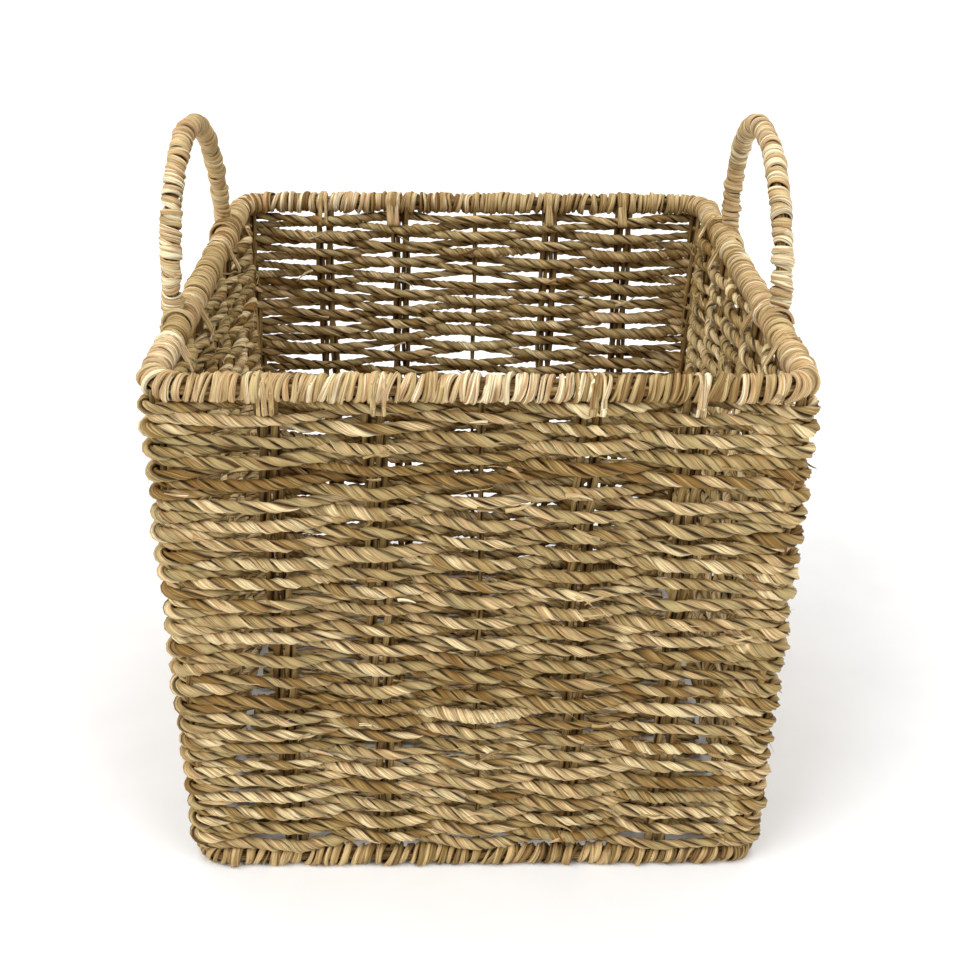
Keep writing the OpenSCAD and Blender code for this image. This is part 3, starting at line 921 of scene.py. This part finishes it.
def handle_line(side):
    """Middle line of a handle, from the front foot over the arch to the back foot."""
    wider, back, lower, lean = HANDLE_SHAPE[side]
    lean = math.radians(lean)
    arch_r = ARCH_R + wider
    top = max(ARCH_Z - wider - lower, 1.0)
    legs = np.linspace(HANDLE_FOOT, top, LEG_POINTS + 1)[:-1]
    a = np.linspace(math.pi, 0, ARCH_POINTS)
    rise = ARCH_Z + ARCH_R - lower - top
    across = np.concatenate([np.full(LEG_POINTS, -arch_r), arch_r * np.cos(a),
                             np.full(LEG_POINTS, arch_r)])
    y = HANDLE_Y + back + across
    z = np.concatenate([legs, top + rise * np.sin(a), legs[::-1]])
    line = np.stack([side * (HANDLE_X - z * math.sin(lean)), y, RIM_Z + z * math.cos(lean)], 1)
    return spaced(line, 1.0, False)[0]


# %% [markdown]
# The foot of each leg is tied to the rim with a few thick turns that take in both, since a wound
# wire can't be nailed or glued. The lashing reaches further in, under the arch, than out.

# %% A lashing round the foot of a handle
HANDLES = ((-1, "left"), (1, "right"))
ENDS = ((-1, "front"), (1, "back"))
LASH_LEN, LASH_R = 26.0, 9.0
LASH_X = RING + 1.4  # its middle line lies between the rim's and the leg's
LASH_POINTS = 27


def lashing(rng, side, end):
    wider, back, _, _ = HANDLE_SHAPE[side]
    middle = HANDLE_Y + back + end * (ARCH_R + wider - LASH_LEN / 4)
    y = np.linspace(middle - LASH_LEN / 2, middle + LASH_LEN / 2, LASH_POINTS)
    line = np.column_stack([np.full(LASH_POINTS, side * LASH_X), y, np.full(LASH_POINTS, RIM_Z)])
    out = np.tile((float(side), 0.0, 0.0), (LASH_POINTS, 1))
    return wind(rng, line, out, False, LASH_R, pitch=5.8, half_width=1.7, half_thick=1.3,
                wobble=0.6, lift=0.4)


print(f"a lashing is {LASH_LEN:.0f} mm long and {2 * LASH_R:.0f} mm thick")

# %% [markdown]
# The strips of a handle are wider and flatter than the rim's, laid at more of a slant, and taken
# from the palest leaf, because a hand and an eye go there first. The handle is wound before it is
# set on the rim, and lashed last.

# %% Wind the handles and lash them to the rim
PALEST = (0.45, 1.0)
for number, (side, name) in enumerate(HANDLES):
    line = handle_line(side)
    out = np.tile((float(side), 0.0, 0.0), (len(line), 1))
    out = unit(out - (out * along(line, False)).sum(1, keepdims=True) * along(line, False))
    strands = padding(dice(7, number), line[::3], out[::3], False, HANDLE_R - 1.8)
    strands += wind(dice(8, number), line, out, False, HANDLE_R + STRIP_PROUD, pitch=6.6,
                    half_width=2.2, half_thick=1.1, wobble=0.7, lift=0.4, slant=1.8, tint=PALEST)
    piece(f"{name}_handle_winding", strands, strip_finish, "seagrass_strip", f"{name}_handle_wrap")
    for end, end_name in ENDS:
        strands = lashing(dice(9, number, end + 1), side, end)
        piece(f"{name}_{end_name}_lashing", strands, strip_finish, "seagrass_strip",
              f"{name}_lashing_{end_name}")
    print("the", name, "handle's line is", len(line), "mm long; lashings tied:", len(ENDS))

# %% [markdown]
# ## Woven bottom
#
# The bottom is woven like a wall: ropes run from side to side, over and under stakes that run
# from front to back. The stakes lie in line with the uprights of the front and the back wall,
# because one cord can run down a wall, under the basket and up the other side.

# %% Stakes of the bottom
mat_low, mat_high = box_mm("base_weft")
MAT_Z = (mat_high[2] + mat_low[2]) / 2
MAT_STEP, MAT_SIDES = 3.0, 8
MAT_PAIR = 3.0  # from the middle of a pair to one of its stakes
MAT_STAKE_WIDE, MAT_STAKE_THICK = 1.9, 1.8
rng = dice(10)
strands = []
for k, e in [(0, 0)] + [(k, e) for k in PAIRS for e in (-1, 1)]:
    y = np.arange(-WALL + MAT_STEP, WALL - MAT_STEP, MAT_STEP)
    count = len(y)
    x = k * BAY + e * MAT_PAIR + 0.4 * drift(rng, count, MAT_STEP, 60)
    line = np.column_stack([x, y, np.full(count, MAT_Z)])
    strands.append(strand(rng, line, np.tile((0.0, 0.0, 1.0), (count, 1)), MAT_STAKE_WIDE,
                          MAT_STAKE_THICK, leaf_tints(rng, count, MAT_STEP), sides=MAT_SIDES))
piece("bottom_stakes", strands, stake_finish, "seagrass_stake", "base_stakes")
print("stakes in the bottom:", len(strands))

# %% [markdown]
# The ropes of the bottom are thinner than the wall's and lie with open joints, since sand and
# crumbs should fall through. Each follows a cosine wave that goes over one stake and under the
# next. They are seen only from above and through the wall, so they have fewer points.

# %% Ropes of the bottom
MAT_HALF = mat_high[0] + 2.0  # the ropes' ends are tucked 2 mm further into the walls
MAT_ROPES = 40
MAT_OFF = 3.9  # how far a rope swings above and below the stakes
MAT_THICK = 0.78
MAT_EDGE = 3.5  # from the mat's edge to the middle of its last rope
MAT_WANDER, MAT_REACH = 0.5, 50
MAT_FLOOR = 0.3
strands = []
for i in range(MAT_ROPES):
    y = (i - (MAT_ROPES - 1) / 2) * 2 * (mat_high[1] - MAT_EDGE) / (MAT_ROPES - 1)
    x = np.arange(-MAT_HALF, MAT_HALF, 1.0)
    wave = np.cos(math.pi * x / BAY) * (1 if i % 2 == 0 else -1) * MAT_OFF
    path = np.column_stack([x, y + MAT_WANDER * drift(rng, len(x), 1.0, MAT_REACH), MAT_Z + wave])
    strands += rope(rng, path, False, MAT_THICK, step=MAT_STEP, sides=MAT_SIDES)
piece("bottom_ropes", strands, rope_finish, "seagrass_rope", "base_weft", floor=MAT_FLOOR)
print("ropes in the bottom:", MAT_ROPES)

# %% [markdown]
# ## The wires inside
#
# The wires of the rim and the base ring are CAD parts that keep their own shape. A handle's wire
# has to follow its own hand-bent arch, so it is made here along the same line as its winding and
# stands for the CAD wire. All show only in a slit between two turns, and the real ones are hidden
# too; steel wire painted brown against rust is the usual choice. The paint is a thin semi-gloss
# enamel with a faint orange peel. Its noise has no coordinates of its own, so Blender counts it
# over the piece's box, and the peel comes out finer than its real half millimetre.

# %% Painted steel wire
PEEL_MM, PEEL_DEEP_MM = 0.5, 0.1
ENAMEL_ROUGH = 0.45
HANDLE_WIRE_R = 2.0
paint = bpy.data.materials.new("painted_steel_wire")
paint.use_nodes = True
tree = paint.node_tree
peel = add(tree, "ShaderNodeTexNoise", {"Scale": 1 / (PEEL_MM * MM), "Detail": 2.0}).outputs["Fac"]
brown = add(tree, "ShaderNodeValToRGB", {"Fac": peel}, [(0.3, "#2E2114"), (0.7, "#4A3721")])
relief = add(tree, "ShaderNodeBump", {"Height": peel, "Strength": 0.3,
             "Distance": PEEL_DEEP_MM * MM})
shader = tree.nodes["Principled BSDF"]
tree.links.new(brown.outputs["Color"], shader.inputs["Base Color"])
tree.links.new(relief.outputs[0], shader.inputs["Normal"])
shader.inputs["Roughness"].default_value = ENAMEL_ROUGH
for wire in ("rim_wire", "base_wire"):
    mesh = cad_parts[wire].data
    mesh.materials.clear()
    mesh.materials.append(paint)
for number, (side, name) in enumerate(HANDLES):
    line = handle_line(side)[::2]
    out = np.tile((float(side), 0.0, 0.0), (len(line), 1))
    wire = [strand(dice(12, number), line, out, HANDLE_WIRE_R, HANDLE_WIRE_R, 0.5, ridge=0.0)]
    piece(f"{name}_handle_wire", wire, paint, "frame_wire", f"{name}_handle_core")
print("wires painted: rim, base ring and", len(HANDLES), "handles")

# %% [markdown]
# ## Floor and light
#
# The basket stands on plain pale card, wide enough to fill the view of a camera that looks well
# down on it; a lower one sees its far edge. It is matt, so the lights leave no shine on it, and
# its tooth is far too fine to see; only a trace of mottling is drawn. The card and the lights are
# the stage and not part of the basket.

# %% Floor
FLOOR_HALF_M = 8.0
CARD_MOTTLE, CARD_ROUGH, CARD_GLOSS = 400.0, 0.9, 0.1
corners = [(-FLOOR_HALF_M, -FLOOR_HALF_M, 0), (FLOOR_HALF_M, -FLOOR_HALF_M, 0),
           (FLOOR_HALF_M, FLOOR_HALF_M, 0), (-FLOOR_HALF_M, FLOOR_HALF_M, 0)]
floor_mesh = bpy.data.meshes.new("floor")
floor_mesh.from_pydata(corners, [], [(0, 1, 2, 3)])
floor = bpy.data.objects.new("floor", floor_mesh)
bpy.context.scene.collection.objects.link(floor)
card = bpy.data.materials.new("white_card")
card.use_nodes = True
tree = card.node_tree
tooth = add(tree, "ShaderNodeTexNoise", {"Scale": CARD_MOTTLE, "Detail": 2.0}).outputs["Fac"]
white = add(tree, "ShaderNodeValToRGB", {"Fac": tooth}, [(0.3, "#F6F7F8"), (0.7, "#F9FAFB")])
shader = tree.nodes["Principled BSDF"]
tree.links.new(white.outputs["Color"], shader.inputs["Base Color"])
shader.inputs["Roughness"].default_value = CARD_ROUGH
shader.inputs["Specular IOR Level"].default_value = CARD_GLOSS
floor_mesh.materials.append(card)
print("floor:", 2 * FLOOR_HALF_M, "m wide")

# %% [markdown]
# Large soft lamps on both sides of the front and a soft light from above and a little behind,
# as in a small studio with white walls. Each is a sun lamp with a wide angle, which lights every
# place alike however far away it is, so the floor is evenly bright. A weak, slightly warm surround
# fills what they leave. The standard view keeps whites white.

# %% Lights
SURROUND_COLOUR, SURROUND_POWER = (1, 0.98, 0.95, 1), 0.24


def soft_light(name, towards, power, spread):
    """A sun lamp in the direction `towards`, `spread` degrees wide."""
    data = bpy.data.lights.new(name, "SUN")
    data.energy, data.angle = power, math.radians(spread)
    made = bpy.data.objects.new(name, data)
    bpy.context.scene.collection.objects.link(made)
    made.rotation_mode = "QUATERNION"
    made.rotation_quaternion = (-Vector(towards)).to_track_quat("-Z", "Y")


soft_light("soft_left", (-0.66, -0.40, 0.66), 1.9, 46)
soft_light("soft_right", (0.64, -0.42, 0.66), 1.2, 46)
soft_light("soft_top", (0.0, 0.30, 0.95), 1.7, 70)
world = bpy.data.worlds.new("white_surround")
bpy.context.scene.world = world
world.use_nodes = True
world.node_tree.nodes["Background"].inputs["Color"].default_value = SURROUND_COLOUR
world.node_tree.nodes["Background"].inputs["Strength"].default_value = SURROUND_POWER
bpy.context.scene.view_settings.view_transform = "Standard"
print("lights:", [light.name for light in bpy.data.lights])
